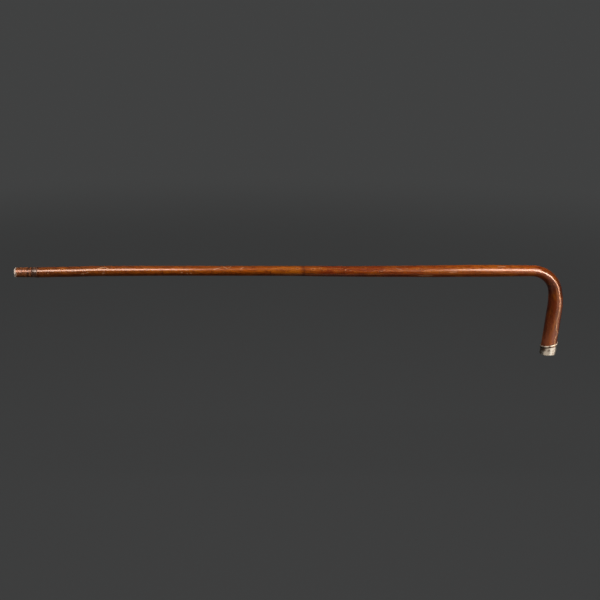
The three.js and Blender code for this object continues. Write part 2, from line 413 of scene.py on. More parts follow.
def add_piece(name, builder, material, node_names, placing=None):
    """Turns collected rings into a smooth-shaded piece that stands for solids of the frame."""
    mesh = bpy.data.meshes.new(name)
    mesh.from_pydata([tuple(p) for p in builder.points], [], builder.faces)
    if placing is not None:
        mesh.transform(placing)
    mesh.update()
    mesh.shade_smooth()
    mesh.materials.append(material)
    thing = bpy.data.objects.new(name, mesh)
    bpy.context.scene.collection.objects.link(thing)
    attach(thing, "root")
    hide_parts(*node_names)
    return thing


def store_numbers(mesh, name, values):
    """Keeps one number for each point of a mesh, for its material to read."""
    attribute = mesh.attributes.new(name, "FLOAT", "POINT")
    attribute.data.foreach_set("value", values)


def store_places(mesh, name, places):
    """Keeps one place for each point of a mesh, for its material to read."""
    attribute = mesh.attributes.new(name, "FLOAT_VECTOR", "POINT")
    attribute.data.foreach_set("vector", [value for place in places for value in place])


class Nodes:
    """Short calls that build the nodes of a material or a world."""

    def __init__(self, owner):
        self.owner = owner
        self.owner.use_nodes = True
        self.tree = self.owner.node_tree
        self.tree.nodes.clear()

    def fill(self, node, key, value):
        """Links a socket to an input, or sets the input to a plain value."""
        if isinstance(value, bpy.types.NodeSocket):
            self.tree.links.new(value, node.inputs[key])
        else:
            node.inputs[key].default_value = value

    def add(self, kind, inputs=None, **settings):
        """A new node with its settings made and its inputs filled."""
        node = self.tree.nodes.new("ShaderNode" + kind)
        for key, value in settings.items():
            setattr(node, key, value)
        for key, value in (inputs or {}).items():
            self.fill(node, key, value)
        return node

    def attribute(self, name, output="Fac"):
        """What the mesh keeps under a name."""
        return self.add("Attribute", attribute_name=name).outputs[output]

    def position(self):
        """Place of the spot that is shaded."""
        return self.add("NewGeometry").outputs["Position"]

    def stretch(self, vector, scale):
        """A place scaled along each axis, so that a pattern read there is drawn out."""
        return self.add("VectorMath", {0: vector, 1: scale}, operation="MULTIPLY").outputs[0]

    def noise(self, vector, scale, detail=3.0, roughness=0.55, distortion=0.0):
        """Cloudy pattern, mostly between 0.3 and 0.7."""
        values = {"Vector": vector, "Scale": scale, "Detail": detail, "Roughness": roughness,
                  "Distortion": distortion}
        return self.add("TexNoise", values).outputs["Fac"]

    def cells(self, vector, scale):
        """Distance from the nearest of many scattered points."""
        return self.add("TexVoronoi", {"Vector": vector, "Scale": scale}).outputs["Distance"]

    def span(self, value, low, high, to_low=0.0, to_high=1.0):
        """A value eased from one range to another."""
        values = {"Value": value, "From Min": low, "From Max": high, "To Min": to_low,
                  "To Max": to_high}
        return self.add("MapRange", values, interpolation_type="SMOOTHSTEP").outputs["Result"]

    def math(self, operation, first, second):
        """Result of a sum on two values."""
        return self.add("Math", {0: first, 1: second}, operation=operation).outputs[0]

    def mix(self, share, first, second):
        """Blend of two colours, with the share that the second has."""
        node = self.add("Mix", data_type="RGBA", blend_type="MIX")
        for socket, value in ((0, share), (6, first), (7, second)):
            self.fill(node, socket, value)
        return node.outputs[2]

    def ramp(self, value, stops):
        """Colour at a value, read between stops of place and colour."""
        node = self.add("ValToRGB", {"Fac": value})
        ramp = node.color_ramp
        while len(ramp.elements) < len(stops):
            ramp.elements.new(0.5)
        for element, (place, color) in zip(ramp.elements, stops):
            element.position = place
            element.color = color
        return node.outputs["Color"]

    def bump(self, height, strength, distance):
        """Surface direction tilted by a pattern of heights."""
        values = {"Height": height, "Strength": strength, "Distance": distance}
        return self.add("Bump", values).outputs["Normal"]

    def finish(self, shader, output="OutputMaterial"):
        """Puts the shader on the output and gives back the finished material or world."""
        node = self.add(output)
        self.tree.links.new(shader, node.inputs["Surface"])
        return self.owner


def tone(red, green, blue):
    """Colour of a surface from its screen values out of 255."""
    def linear(value):
        share = value / 255
        return share / 12.92 if share <= 0.04045 else ((share + 0.055) / 1.055) ** 2.4
    return (linear(red), linear(green), linear(blue), 1.0)


def mottled_tones(n, straight):
    """Colour of the varnish: its drift along the stick, with amber and red clouds."""
    wave = n.span(n.noise(straight, 150.0, 2.0), 0.2, 0.8, -0.0025, 0.0025)
    # Painted shade and light: stops 0.87 to 0.93 darken the upper nose, 0.95 and 0.975 lighten its end
    tones = n.ramp(n.math("ADD", n.attribute("along"), wave), [
        (0.00, tone(118, 62, 34)), (0.10, tone(140, 70, 24)), (0.24, tone(174, 82, 12)),
        (0.40, tone(172, 78, 4)), (0.455, tone(188, 100, 8)), (0.463, tone(168, 78, 4)),
        (0.4655, tone(96, 32, 4)), (0.469, tone(160, 74, 6)), (0.50, tone(138, 48, 4)),
        (0.62, tone(152, 60, 3)), (0.78, tone(176, 82, 8)), (0.835, tone(162, 68, 10)),
        (0.87, tone(100, 38, 15)), (0.893, tone(96, 36, 13)), (0.91, tone(128, 52, 18)),
        (0.93, tone(118, 50, 20)), (0.95, tone(148, 72, 38)), (0.975, tone(172, 92, 60)),
    ])
    drift = n.noise(n.stretch(straight, (0.35, 1.0, 1.0)), 120.0, 3.0, 0.5)
    amber = n.mix(n.span(drift, 0.45, 0.68, 0.0, 0.5), tones, tone(196, 104, 14))
    clouds = n.noise(n.stretch(straight, (0.4, 1.0, 1.0)), 300.0, 4.0, 0.6, 0.4)
    return n.mix(n.span(clouds, 0.5, 0.7, 0.0, 0.75), amber, tone(98, 28, 3))


def with_grain(n, straight, base):
    """Adds dark grain, pores and pale specks to a colour of the wood."""
    grain = n.noise(n.stretch(straight, (0.045, 1.0, 1.0)), 1500.0, 4.0, 0.65)
    streaked = n.mix(n.span(grain, 0.45, 0.72, 0.0, 0.55), base, tone(84, 28, 3))
    pores = n.cells(n.stretch(straight, (0.16, 1.0, 1.0)), 900.0)
    pored = n.mix(n.span(pores, 0.22, 0.08, 0.0, 0.5), streaked, tone(60, 22, 10))
    specks = n.cells(n.stretch(straight, (0.45, 1.0, 1.0)), 420.0)
    speck_zone = n.span(n.noise(straight, 34.0, 2.0), 0.45, 0.6)
    speck = n.math("MULTIPLY", n.span(specks, 0.2, 0.1), speck_zone)
    return n.mix(n.math("MULTIPLY", speck, 0.65), pored, tone(208, 146, 84))


def with_knots(n, base):
    """Adds the healed knots to a colour of the wood: a pale ring round a dark heart."""
    knot = n.attribute("knot")
    ring = n.math("MULTIPLY", n.span(knot, 0.45, 0.7), n.span(knot, 1.25, 0.95))
    ringed = n.mix(n.math("MULTIPLY", ring, 0.5), base, tone(206, 122, 58))
    return n.mix(n.span(knot, 0.5, 0.1, 0.0, 0.85), ringed, tone(66, 26, 12))


def wood_material():
    """Red-brown varnish, mottled and scratched, over long-grained bentwood, with painted shade on it.
    """
    n = Nodes(bpy.data.materials.new("worn varnished wood"))
    straight = n.attribute("straight", "Vector")
    mark = n.attribute("mark")
    edge = n.attribute("peel_edge")
    bare = n.attribute("peel_bare")
    dirt_and_shade = n.attribute("dirt_and_shade")

    wood = with_knots(n, with_grain(n, straight, mottled_tones(n, straight)))
    # Grime and painted shade: the bend, the belly and the varnish by the cap go dark red-brown
    dirtied_and_shaded = n.mix(n.math("MULTIPLY", dirt_and_shade, 0.9), wood, tone(46, 13, 5))
    # Painted shade: the top of the stick goes a darker brown
    top_shaded = n.mix(n.math("MULTIPLY", n.attribute("painted_top_shade"), 0.6), dirtied_and_shaded, tone(88, 40, 24))
    marked = n.mix(n.math("MULTIPLY", mark, 0.8), top_shaded, tone(224, 170, 124))
    bared = n.mix(n.math("MULTIPLY", bare, 0.35), marked, tone(150, 72, 40))
    color = n.mix(n.math("MULTIPLY", edge, 0.95), bared, tone(250, 180, 120))

    hair = n.noise(n.stretch(straight, (0.03, 1.0, 1.0)), 2600.0, 3.0, 0.6)
    uneven = n.noise(straight, 420.0, 3.0, 0.6)
    gloss = n.span(uneven, 0.3, 0.75, 0.17, 0.27)
    lifted = n.math("MAXIMUM", mark, edge)
    roughness = n.math("ADD", gloss, n.math("MULTIPLY", lifted, 0.3))
    dulled = n.math("MAXIMUM", n.math("MAXIMUM", lifted, bare), dirt_and_shade)
    coat = n.span(dulled, 0.2, 0.8, 0.2, 0.02)
    normal = n.bump(n.math("ADD", hair, n.math("MULTIPLY", uneven, 0.8)), 0.3, 0.00012)
    values = {"Base Color": color, "Roughness": roughness, "Normal": normal, "IOR": 1.5,
              "Specular Tint": (1.0, 0.62, 0.42, 1.0), "Coat Weight": coat, "Coat Roughness": 0.12,
              "Coat IOR": 1.5}
    return n.finish(n.add("BsdfPrincipled", values).outputs[0])


def metal_material(name, pale, dark, metallic, shine, rough_low, rough_high, tarnish_and_light_power):
    """Worn metal: polish that varies, fine turned scratches, and tarnish and painted light where the
    mesh says. Much of it darkens into grime and painted shade, and below zero it bares the metal and
    paints highlights."""
    n = Nodes(bpy.data.materials.new(name))
    place = n.attribute("place", "Vector")
    tarnish_shade_and_sheen = n.math("MULTIPLY", n.attribute("tarnish_shade_and_sheen"), tarnish_and_light_power)
    patches = n.noise(place, 160.0, 4.0, 0.6, 0.3)
    scratches = n.noise(n.stretch(place, (1.0, 1.0, 0.06)), 2400.0, 3.0, 0.6)
    stain_shade_and_sheen = n.math("ADD", n.span(patches, 0.42, 0.72, 0.0, 0.55), tarnish_shade_and_sheen)
    stained_and_shaded = n.mix(n.span(stain_shade_and_sheen, 0.0, 1.0), pale, dark)
    specks = n.span(n.cells(place, 900.0), 0.16, 0.06, 0.0, 0.6)
    pitted = n.mix(specks, stained_and_shaded, dark)
    # Much stain darkens into grime and painted shade
    grimed_and_shaded = n.mix(n.span(stain_shade_and_sheen, 1.1, 1.8), pitted, tone(44, 34, 26))
    # Negative stain bares the metal and paints highlights
    bared = n.mix(n.span(stain_shade_and_sheen, -0.4, -1.4), grimed_and_shaded, tone(226, 190, 162))
    roughness = n.span(n.math("ADD", patches, n.math("MULTIPLY", scratches, 0.3)), 0.35, 0.95,
                       rough_low, rough_high)
    normal = n.bump(n.math("ADD", scratches, patches), 0.25, 0.0001)
    values = {"Base Color": bared, "Metallic": metallic, "Specular IOR Level": shine,
              "Roughness": roughness, "Normal": normal}
    return n.finish(n.add("BsdfPrincipled", values).outputs[0])


def silver_material():
    """Polished silver of the cap's wall and disc."""
    return metal_material("worn silver", tone(240, 228, 208), tone(112, 88, 70), metallic=1.0,
                          shine=0.5, rough_low=0.14, rough_high=0.38, tarnish_and_light_power=0.8)


def wire_material():
    """Duller silver of the rolled wire."""
    return metal_material("dull silver wire", tone(222, 206, 182), tone(150, 130, 112), metallic=0.4,
                          shine=0.5, rough_low=0.42, rough_high=0.6, tarnish_and_light_power=1.0)


def copper_material():
    """Copper-brown of the ferrule's sleeve, browned all over and so hardly metallic."""
    return metal_material("rubbed copper brown", tone(152, 87, 46), tone(88, 46, 20), metallic=0.14,
                          shine=0.34, rough_low=0.25, rough_high=0.36, tarnish_and_light_power=0.5)


def ground_metal_material():
    """Pale, dull metal of the plate that meets the ground."""
    return metal_material("ground worn metal", tone(238, 214, 194), tone(112, 92, 78), metallic=0.0,
                          shine=0.25, rough_low=0.5, rough_high=0.7, tarnish_and_light_power=0.5)


def horn_material():
    """Polished dark brown horn with faint paler streaks."""
    n = Nodes(bpy.data.materials.new("dark horn"))
    place = n.attribute("place", "Vector")
    streaks = n.noise(n.stretch(place, (1.0, 1.0, 0.12)), 900.0, 4.0, 0.6)
    clouds = n.noise(place, 260.0, 3.0)
    base = n.mix(n.span(streaks, 0.45, 0.75), tone(88, 56, 40), tone(112, 80, 62))
    color = n.mix(n.span(clouds, 0.5, 0.8, 0.0, 0.5), base, tone(126, 92, 70))
    roughness = n.span(clouds, 0.3, 0.7, 0.2, 0.36)
    normal = n.bump(streaks, 0.2, 0.0001)
    values = {"Base Color": color, "Roughness": roughness, "Normal": normal, "IOR": 1.54,
              "Specular Tint": (1.0, 0.82, 0.7, 1.0)}
    return n.finish(n.add("BsdfPrincipled", values).outputs[0])


def pitch_material():
    """Dull dark pitch, hidden in the end of the cap."""
    n = Nodes(bpy.data.materials.new("dull pitch"))
    lumps = n.noise(n.position(), 700.0, 3.0)
    color = n.mix(lumps, tone(40, 30, 24), tone(74, 56, 42))
    values = {"Base Color": color, "Roughness": 0.8, "Normal": n.bump(lumps, 0.5, 0.0003)}
    return n.finish(n.add("BsdfPrincipled", values).outputs[0])


def varnish_dirt_and_shade(distance, angle):
    """How much darker the varnish is painted inside the bend, along the belly and close to the cap."""
    around = degrees_from(0, angle)
    bend = smooth(SHAFT_LENGTH, SHAFT_LENGTH + 0.6 * BEND_LENGTH, distance)
    # Inside the bend: grime and painted shade
    inner = bend * smooth(60, 140, degrees_from(20, angle))
    # Along the belly: painted shade
    belly = 0.8 * smooth(92, 128, around)
    above_bead = STICK_LENGTH - distance - bead_top(angle)
    # By the cap: a thin dark line above the wire, and a haze of painted shade on the inner side
    rim = 0.9 * smooth(*RIM_LINE, above_bead)
    haze = smooth(*RIM_HAZE, above_bead) * smooth(88, 148, around)
    return max(inner, belly, rim, haze)


def varnish_facts(distance, angle, radius):
    """What the varnish is like at a spot, painted shade included, under the names that its material
    reads.
    """
    edge, bare = peel_edge(distance, angle)
    # Random patchiness of the grime and the painted shade
    patchiness = rough_noise(distance * 60, math.sin(angle) * 1.2, math.cos(angle) * 1.2, 6)
    # Painted shade along the top, fading towards the handle
    painted_top_shade = smooth(50, 14, degrees_from(0, angle)) * (1 - 0.8 * smooth(*TOP_SHADE_FADE, distance))
    return {
        "along": distance / STICK_LENGTH,
        "mark": mark_strength(distance, angle, radius),
        "knot": knot_reach(distance, angle, radius),
        "peel_edge": edge,
        "peel_bare": bare,
        "dirt_and_shade": varnish_dirt_and_shade(distance, angle) * (0.55 + 0.45 * patchiness),
        "painted_top_shade": painted_top_shade * (0.6 + 0.4 * patchiness),
    }


def stick_stations():
    """Rings of the stick from its foot tenon to the nose inside the cap: distance, radius and
    whether the wood is worn there."""
    start = SHOULDER + EDGE_BREAK
    worn_length = STICK_LENGTH - CAP_LENGTH - start
    count = round(worn_length / WOOD_STEP)
    stations = [
        (FOOT_TENON_START, FOOT_TENON_RADIUS - EDGE_BREAK, False),
        (FOOT_TENON_START + EDGE_BREAK, FOOT_TENON_RADIUS, False),
        (SHOULDER, FOOT_TENON_RADIUS, False),
        (SHOULDER, FOOT_RADIUS - EDGE_BREAK, False),
        (SHOULDER + 0.4 * EDGE_BREAK, FOOT_RADIUS - 0.4 * EDGE_BREAK, False),
    ]
    for step in range(count + 1):
        distance = start + worn_length * step / count
        stations.append((distance, wood_radius(distance), True))
    nose = cap_bore_at(CAP_FILLING) - CLEARANCE
    stations.append((STICK_LENGTH - CAP_FILLING - EDGE_BREAK, nose, False))
    stations.append((STICK_LENGTH - CAP_FILLING, nose - EDGE_BREAK, False))
    return stations


def make_stick(material):
    """The bentwood stick, whose points also know where they would lie if it were straight."""
    builder = SkinBuilder(WOOD_SIDES)
    angles = [index / WOOD_SIDES * TAU for index in range(WOOD_SIDES)]
    front = Vector((0, -1, 0))
    straight = []
    facts = []
    for distance, radius, worn in stick_stations():
        centre, turned = stick_path(distance)
        outward = Vector((math.sin(turned), 0, math.cos(turned)))
        ring = []
        for angle in angles:
            here = radius - relief(distance, angle, radius) if worn else radius
            ring.append(centre + outward * here * math.cos(angle) + front * here * math.sin(angle))
            straight.append((distance, radius * math.sin(angle), radius * math.cos(angle)))
            facts.append(varnish_facts(distance, angle, radius))
        builder.ring(ring)
    builder.cap_ends()
    thing = add_piece("bentwood_stick", builder, material, ["stick"])
    store_places(thing.data, "straight", straight)
    for name in facts[0]:
        store_numbers(thing.data, name, [fact[name] for fact in facts])


def turned_piece(name, profile, closed, shape, tarnish_shade_and_sheen, material, node_names, placing):
    """A lathe form about +Z. Shape gives the place of each of its points, and the next function its
    tarnish and painted light. A closed profile runs round a hollow, and an open one ends in small flat
    faces on the axis."""
    builder = SkinBuilder(METAL_SIDES)
    angles = [index / METAL_SIDES * TAU for index in range(METAL_SIDES)]
    stains_shades_and_sheens = []
    for radius, height in profile:
        builder.ring([shape(radius, height, angle) for angle in angles])
        stains_shades_and_sheens.extend([tarnish_shade_and_sheen(radius, height, angle) for angle in angles])
    if closed:
        builder.join_ends()
    else:
        builder.cap_ends()
    thing = add_piece(name, builder, material, node_names, placing)
    store_places(thing.data, "place", builder.points)
    store_numbers(thing.data, "tarnish_shade_and_sheen", stains_shades_and_sheens)


def fill_profile(corners, step):
    """Adds points along the straight runs of a profile."""
    filled = [corners[0]]
    for start, end in zip(corners, corners[1:]):
        count = max(1, round(math.dist(start, end) / step))
        for index in range(1, count + 1):
            share = index / count
            filled.append((start[0] + (end[0] - start[0]) * share,
                           start[1] + (end[1] - start[1]) * share))
    return filled


def arc_profile(centre_radius, centre_height, radius, start, end, steps):
    """Arc of a profile between two angles in degrees."""
    points = []
    for step in range(steps + 1):
        angle = math.radians(start + (end - start) * step / steps)
        points.append((centre_radius + radius * math.cos(angle),
                       centre_height + radius * math.sin(angle)))
    return points


def blot(angle, degrees, spread, height, at, tall):
    """A soft spot on a turned form, 1 in its middle."""
    across = wrapped(angle - math.radians(degrees))
    return math.exp(-((across / spread) ** 2) - ((height - at) / tall) ** 2)


def mouth_height(radius, height, angle):
    """Height of a spot of the cap after the slant and the sag of its mouth, both full at the mouth
    and none at the rounded lower edge. The inner side has sagged less."""
    share = min(max((height - CAP_CORNER) / (CAP_LENGTH - CAP_CORNER), 0), 1)
    slant = math.tan(MOUTH_SLANT) * radius * math.cos(angle)
    sag = MOUTH_SAG * (1 - 0.4 * smooth(0.5, -0.3, math.cos(angle)))
    return height + share * (slant - sag)


def end_drop(radius, height, angle):
    """How far the end of the cap lies lower towards its inner side."""
    inward = -radius * math.cos(angle) / CAP_END_RADIUS
    return END_DROP * smooth(-0.2, 0.8, inward) * smooth(END_DROP_HEIGHT, 0, height)


def wall_shape(radius, height, angle):
    """A spot of the cap's wall, dented and with its outer lower corner worn back. 0 degrees faces
    out of the bend and 90 degrees faces the front."""
    depth = 0
    for at, degrees, size, deep in CAP_DENTS:
        across = wrapped(math.radians(degrees) - angle)
        off = math.hypot((height - at) / size, across * radius / size)
        depth += deep * (1 - smooth(0, 1, off))
    corner = smooth(CORNER_WEAR_HEIGHT, 0, height) ** 2 * smooth(0.2, 0.8, math.cos(angle))
    wobble = rough_noise(math.cos(angle) * 1.6, math.sin(angle) * 1.6, height * 160, 8)
    depth += CORNER_WEAR * corner + CAP_WOBBLE * wobble
    here = radius - depth if radius > CAP_FLAT_RADIUS else radius
    z = mouth_height(radius, height, angle) - end_drop(radius, height, angle)
    return (here * math.cos(angle), -here * math.sin(angle), z)


def wall_tarnish_shade_and_sheen(radius, height, angle):
    """The wall is darker on its inner side, partly from tarnish and partly as painted shade, and is
    tarnished under the wire. Dark soft spots are tarnish and painted shade, and negative ones painted
    highlights.
    """
    # Darker on the inner side: partly tarnish, partly painted shade
    inner_side = 0.6 * smooth(0.1, 0.95, -math.cos(angle - 0.25))
    groove = smooth(*GROOVE_TARNISH, CAP_LENGTH - height)
    under_wire = 1.7 * groove * smooth(0.9, 0.2, math.cos(angle))
    # Soft spots: tarnish and painted shade where positive, painted highlights where negative
    spots = sum(power * blot(angle, degrees, spread, height, at, tall)
                for power, degrees, spread, at, tall in CAP_SPOTS)
    return inner_side + under_wire + spots


def bead_shape(radius, height, angle):
    """A spot of the rolled wire, slightly flattened here and there on the outside."""
    flat = BEAD_WOBBLE * rough_noise(math.cos(angle) * 3, math.sin(angle) * 3, 0, 9)
    here = radius - flat if radius > CAP_BORE + CAP_WALL / 2 else radius
    return (here * math.cos(angle), -here * math.sin(angle), mouth_height(radius, height, angle))


def bead_tarnish(radius, height, angle):
    """The wire is dirty on its inner side, and in one spot at the front."""
    spot = blot(angle, 102, 0.13, height, BEAD_START + BEAD_HEIGHT / 2, BEAD_HEIGHT)
    return 0.9 * smooth(0.5, 0.95, -math.cos(angle)) + 1.3 * spot


def disc_shape(radius, height, angle):
    """A spot of the cap's disc, knocked in unevenly inside its rim."""
    dish = rough_noise(radius * 180 * math.cos(angle), radius * 180 * math.sin(angle), 0, 5)
    fade = smooth(DISC_RADIUS, 0.6 * DISC_RADIUS, radius)
    z = height + DISC_DISH * dish * fade - end_drop(radius, height, angle)
    return (radius * math.cos(angle), -radius * math.sin(angle), z)


def disc_tarnish(radius, height, angle):
    """The disc is dirtier towards its rim."""
    return 0.4 * smooth(0.8 * DISC_RADIUS, DISC_RADIUS, radius)


def cap_placing():
    """Matrix that puts a form standing on the origin onto the nose of the stick."""
    centre, turned = stick_path(STICK_LENGTH)
    return Matrix.Translation(centre) @ Matrix.Rotation(turned - math.pi / 2, 4, "Y")


def make_cap_wall(silver):
    """Side wall of the silver cap, with a rounded lower edge."""
    inner = CAP_CORNER - CAP_WALL
    wall = [(CAP_FLAT_RADIUS, 0)]
    wall += arc_profile(CAP_END_RADIUS - CAP_EDGE, CAP_EDGE, CAP_EDGE, -90, 0, steps=12)
    wall += fill_profile([wall[-1], (CAP_MOUTH_RADIUS, CAP_LENGTH), (CAP_BORE, CAP_LENGTH)],
                         step=0.4 * MM)[1:]
    wall += fill_profile([wall[-1], (CAP_FLAT_RADIUS + inner, CAP_CORNER)], step=1 * MM)[1:]
    wall += arc_profile(CAP_FLAT_RADIUS, CAP_CORNER, inner, 0, -90, steps=8)[1:]
    turned_piece("silver_cap_wall", wall, True, wall_shape, wall_tarnish_shade_and_sheen, silver, ["cap_band"],
                 cap_placing())


def make_cap_bead(wire):
    """Rolled wire round the mouth of the cap."""
    steps = 14
    bead = [(CAP_BORE, BEAD_START + BEAD_HEIGHT), (CAP_BORE, BEAD_START)]
    for step in range(steps):
        angle = -math.pi / 2 + math.pi * (step + 0.5) / steps
        bead.append((CAP_BORE + CAP_WALL / 2 + BEAD_RISE * math.sqrt(math.cos(angle)),
                     BEAD_START + BEAD_HEIGHT / 2 * (1 + math.sin(angle))))
    turned_piece("silver_cap_wire", bead, True, bead_shape, bead_tarnish, wire, ["cap_bead"],
                 cap_placing())


def make_cap_disc(silver):
    """Disc that closes the end of the cap."""
    disc = fill_profile([(INNERMOST_RADIUS, 0), (DISC_RADIUS, 0), (DISC_RADIUS, CAP_WALL),
                         (INNERMOST_RADIUS, CAP_WALL)], step=1 * MM)
    turned_piece("silver_cap_disc", disc, False, disc_shape, disc_tarnish, silver, ["cap_end"],
                 cap_placing())


def ferrule_shape(radius, height, angle):
    """A spot of the ferrule or the collar, slightly out of round. 0 degrees faces up and 90 degrees
    faces the front."""
    wobble = FERRULE_WOBBLE * rough_noise(math.cos(angle) * 2, math.sin(angle) * 2, height * 220, 11)
    here = radius - wobble if radius > SLEEVE_BORE else radius
    return (-here * math.cos(angle), -here * math.sin(angle), height)


def plate_shape(radius, height, angle):
    """A spot of the ground plate, whose rim is battered and has a nick on the front."""
    x, y, z = ferrule_shape(radius, height, angle)
    front = wrapped(angle - math.radians(NICK_DEGREES))
    nick = math.exp(-((front / 0.3) ** 2)) * smooth(0.7 * FERRULE_RADIUS, FERRULE_RADIUS, radius)
    rim = smooth(0.75 * FERRULE_RADIUS, FERRULE_RADIUS, radius)
    batter = rim * rough_noise(math.cos(angle) * 3.5, math.sin(angle) * 3.5, 0, 12)
    if height < TIP_THICKNESS:
        z += (PLATE_NICK * nick + PLATE_BATTER * batter) * (1 - height / TIP_THICKNESS)
    return (x, y, z)


def plate_painted_shade(radius, height, angle):
    """Painted shade: the upper side of the plate is darker."""
    return 1.2 * smooth(0.3, 0.95, math.cos(angle))


def sleeve_tarnish_and_shade(radius, height, angle):
    """The sleeve is dark above its lower ring, has painted shade underneath and on top, and is bright
    on its rings and where the front of its lower edge has been rubbed."""
    rise = max((radius - FERRULE_RADIUS) / RING_RISE, 0)
    above_ring = smooth(LOWER_RING, LOWER_RING + 0.4 * RING_SPACING, height)
    # Painted shade underneath and on top
    belly = 2.2 * smooth(0.35, 0.9, -math.cos(angle))
    top = 0.5 * smooth(0.4, 0.9, math.cos(angle))
    rubbed = 5 * blot(angle, NICK_DEGREES, 0.5, height, TIP_THICKNESS, 2 * MM) + 1.7 * rise
    return 0.15 + max(0, 0.75 * above_ring - 0.9 * rise) + belly + top - rubbed


def horn_tarnish(radius, height, angle):
    """Horn doesn't tarnish."""
    return 0.0


def ferrule_placing():
    """Matrix that lays a form standing on the origin along the shaft."""
    return Matrix.Rotation(math.pi / 2, 4, "Y")


def make_ground_plate(metal):
    """Plate that meets the ground, with a bevelled rim and a spigot inside the sleeve."""
    flat = FERRULE_RADIUS - TIP_BEVEL
    spigot = SLEEVE_BORE - CLEARANCE
    top = TIP_THICKNESS + SPIGOT_LENGTH
    plate = fill_profile([(INNERMOST_RADIUS, 0), (flat, 0)], step=0.8 * MM)
    plate += arc_profile(flat, TIP_BEVEL, TIP_BEVEL, -90, 0, steps=8)[1:]
    plate += fill_profile([plate[-1], (FERRULE_RADIUS, TIP_THICKNESS), (spigot, TIP_THICKNESS),
                           (spigot, top), (INNERMOST_RADIUS, top)], step=0.6 * MM)[1:]
    turned_piece("ferrule_ground_plate", plate, False, plate_shape, plate_painted_shade, metal,
                 ["ferrule_tip"], ferrule_placing())


def make_sleeve(copper):
    """Sleeve of the ferrule, with two rolled rings."""
    half_steps = 6
    outline = [(FERRULE_RADIUS, TIP_THICKNESS)]
    for middle in (LOWER_RING, UPPER_RING):
        for step in range(-half_steps, half_steps + 1):
            share = step / half_steps
            outline.append((FERRULE_RADIUS + RING_RISE * (1 - share * share),
                            middle + share * RING_WIDTH / 2))
    outline += [(FERRULE_RADIUS, FERRULE_LENGTH - EDGE_BREAK),
                (FERRULE_RADIUS - EDGE_BREAK, FERRULE_LENGTH), (SLEEVE_BORE, FERRULE_LENGTH),
                (SLEEVE_BORE, TIP_THICKNESS)]
    turned_piece("ferrule_copper_sleeve", fill_profile(outline, step=0.35 * MM), True, ferrule_shape,
                 sleeve_tarnish_and_shade, copper, ["ferrule_sleeve"], ferrule_placing())


def make_collar(horn):
    """Bulging horn collar between the ferrule and the wood."""
    steps = 12
    length = SHOULDER - EDGE_BREAK - FERRULE_LENGTH
    outline = [(FERRULE_RADIUS, FERRULE_LENGTH)]
    for step in range(1, steps):
        share = step / steps
        straight = FERRULE_RADIUS + (FOOT_RADIUS - FERRULE_RADIUS) * share
        outline.append((straight + COLLAR_BULGE * math.sin(math.pi * share) - COLLAR_WEAR,
                        FERRULE_LENGTH + length * share))
    outline += [(FOOT_RADIUS, SHOULDER - EDGE_BREAK), (FOOT_RADIUS - EDGE_BREAK, SHOULDER),
                (SLEEVE_BORE, SHOULDER), (SLEEVE_BORE, FERRULE_LENGTH)]
    turned_piece("horn_collar", fill_profile(outline, step=0.5 * MM), True, ferrule_shape,
                 horn_tarnish, horn, ["tip_collar"], ferrule_placing())


def dress_filling(pitch):
    """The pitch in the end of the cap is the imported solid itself, with a material of its own."""
    filling = frame["nodes"]["cap_filling"]
    filling.data.materials.clear()
    filling.data.materials.append(pitch)


# Studio: the cane hangs above a wide grey floor that runs out into a world of the same grey. Near
# the cane the floor gives off a share of that grey itself, and the lights add the rest.
GREY = (0.052, 0.053, 0.053, 1.0)
WORLD_FILL = 0.045
FLOOR_DROP = 0.4
FLOOR_RADIUS = 40
FLOOR_SIDES = 96
FLOOR_COLOR = (0.02, 0.02, 0.02, 1.0)
FLOOR_GLOW = 0.68
FLOOR_FADE_START = 1.6
FLOOR_FADE_END = 4.5


def seen_rays(n):
    """1 for rays of the camera, in reflections and through clear things, 0 for light that shades."""
    path = n.add("LightPath").outputs
    seen = n.math("MAXIMUM", path["Is Camera Ray"], path["Is Glossy Ray"])
    return n.math("MAXIMUM", seen, path["Is Transmission Ray"])


def floor_material():
    """Grey that is lit near the cane and glows as the world does farther out."""
    n = Nodes(bpy.data.materials.new("grey floor"))
    seen = seen_rays(n)
    lit = n.add("BsdfDiffuse", {"Color": FLOOR_COLOR}).outputs[0]
    own = n.add("Emission", {"Color": GREY, "Strength": n.math("MULTIPLY", seen, FLOOR_GLOW)})
    near = n.add("AddShader", {0: lit, 1: own.outputs[0]}).outputs[0]
    far = n.add("Emission", {"Color": GREY, "Strength": seen}).outputs[0]
    reach = n.add("VectorMath", {0: n.position()}, operation="LENGTH").outputs["Value"]
    share = n.span(reach, FLOOR_FADE_START, FLOOR_FADE_END)
    return n.finish(n.add("MixShader", {0: share, 1: near, 2: far}).outputs[0])


def make_floor():
    """Wide round floor under the cane."""
    mesh = bpy.data.meshes.new("floor")
    angles = [index / FLOOR_SIDES * TAU for index in range(FLOOR_SIDES)]
    rim = [(FLOOR_RADIUS * math.cos(angle), FLOOR_RADIUS * math.sin(angle), -FLOOR_DROP)
           for angle in angles]
    mesh.from_pydata(rim, [], [tuple(range(FLOOR_SIDES))])
    mesh.materials.append(floor_material())
    floor = bpy.data.objects.new("floor", mesh)
    bpy.context.scene.collection.objects.link(floor)


def make_world():
    """Grey where the world is seen, and a faint white light on all surfaces."""
    n = Nodes(bpy.data.worlds.new("grey studio"))
    fill = n.add("Background", {"Color": (1.0, 1.0, 1.0, 1.0), "Strength": WORLD_FILL}).outputs[0]
    grey = n.add("Background", {"Color": GREY, "Strength": 1.0}).outputs[0]
    blend = n.add("MixShader", {0: seen_rays(n), 1: fill, 2: grey}).outputs[0]
    bpy.context.scene.world = n.finish(blend, "OutputWorld")


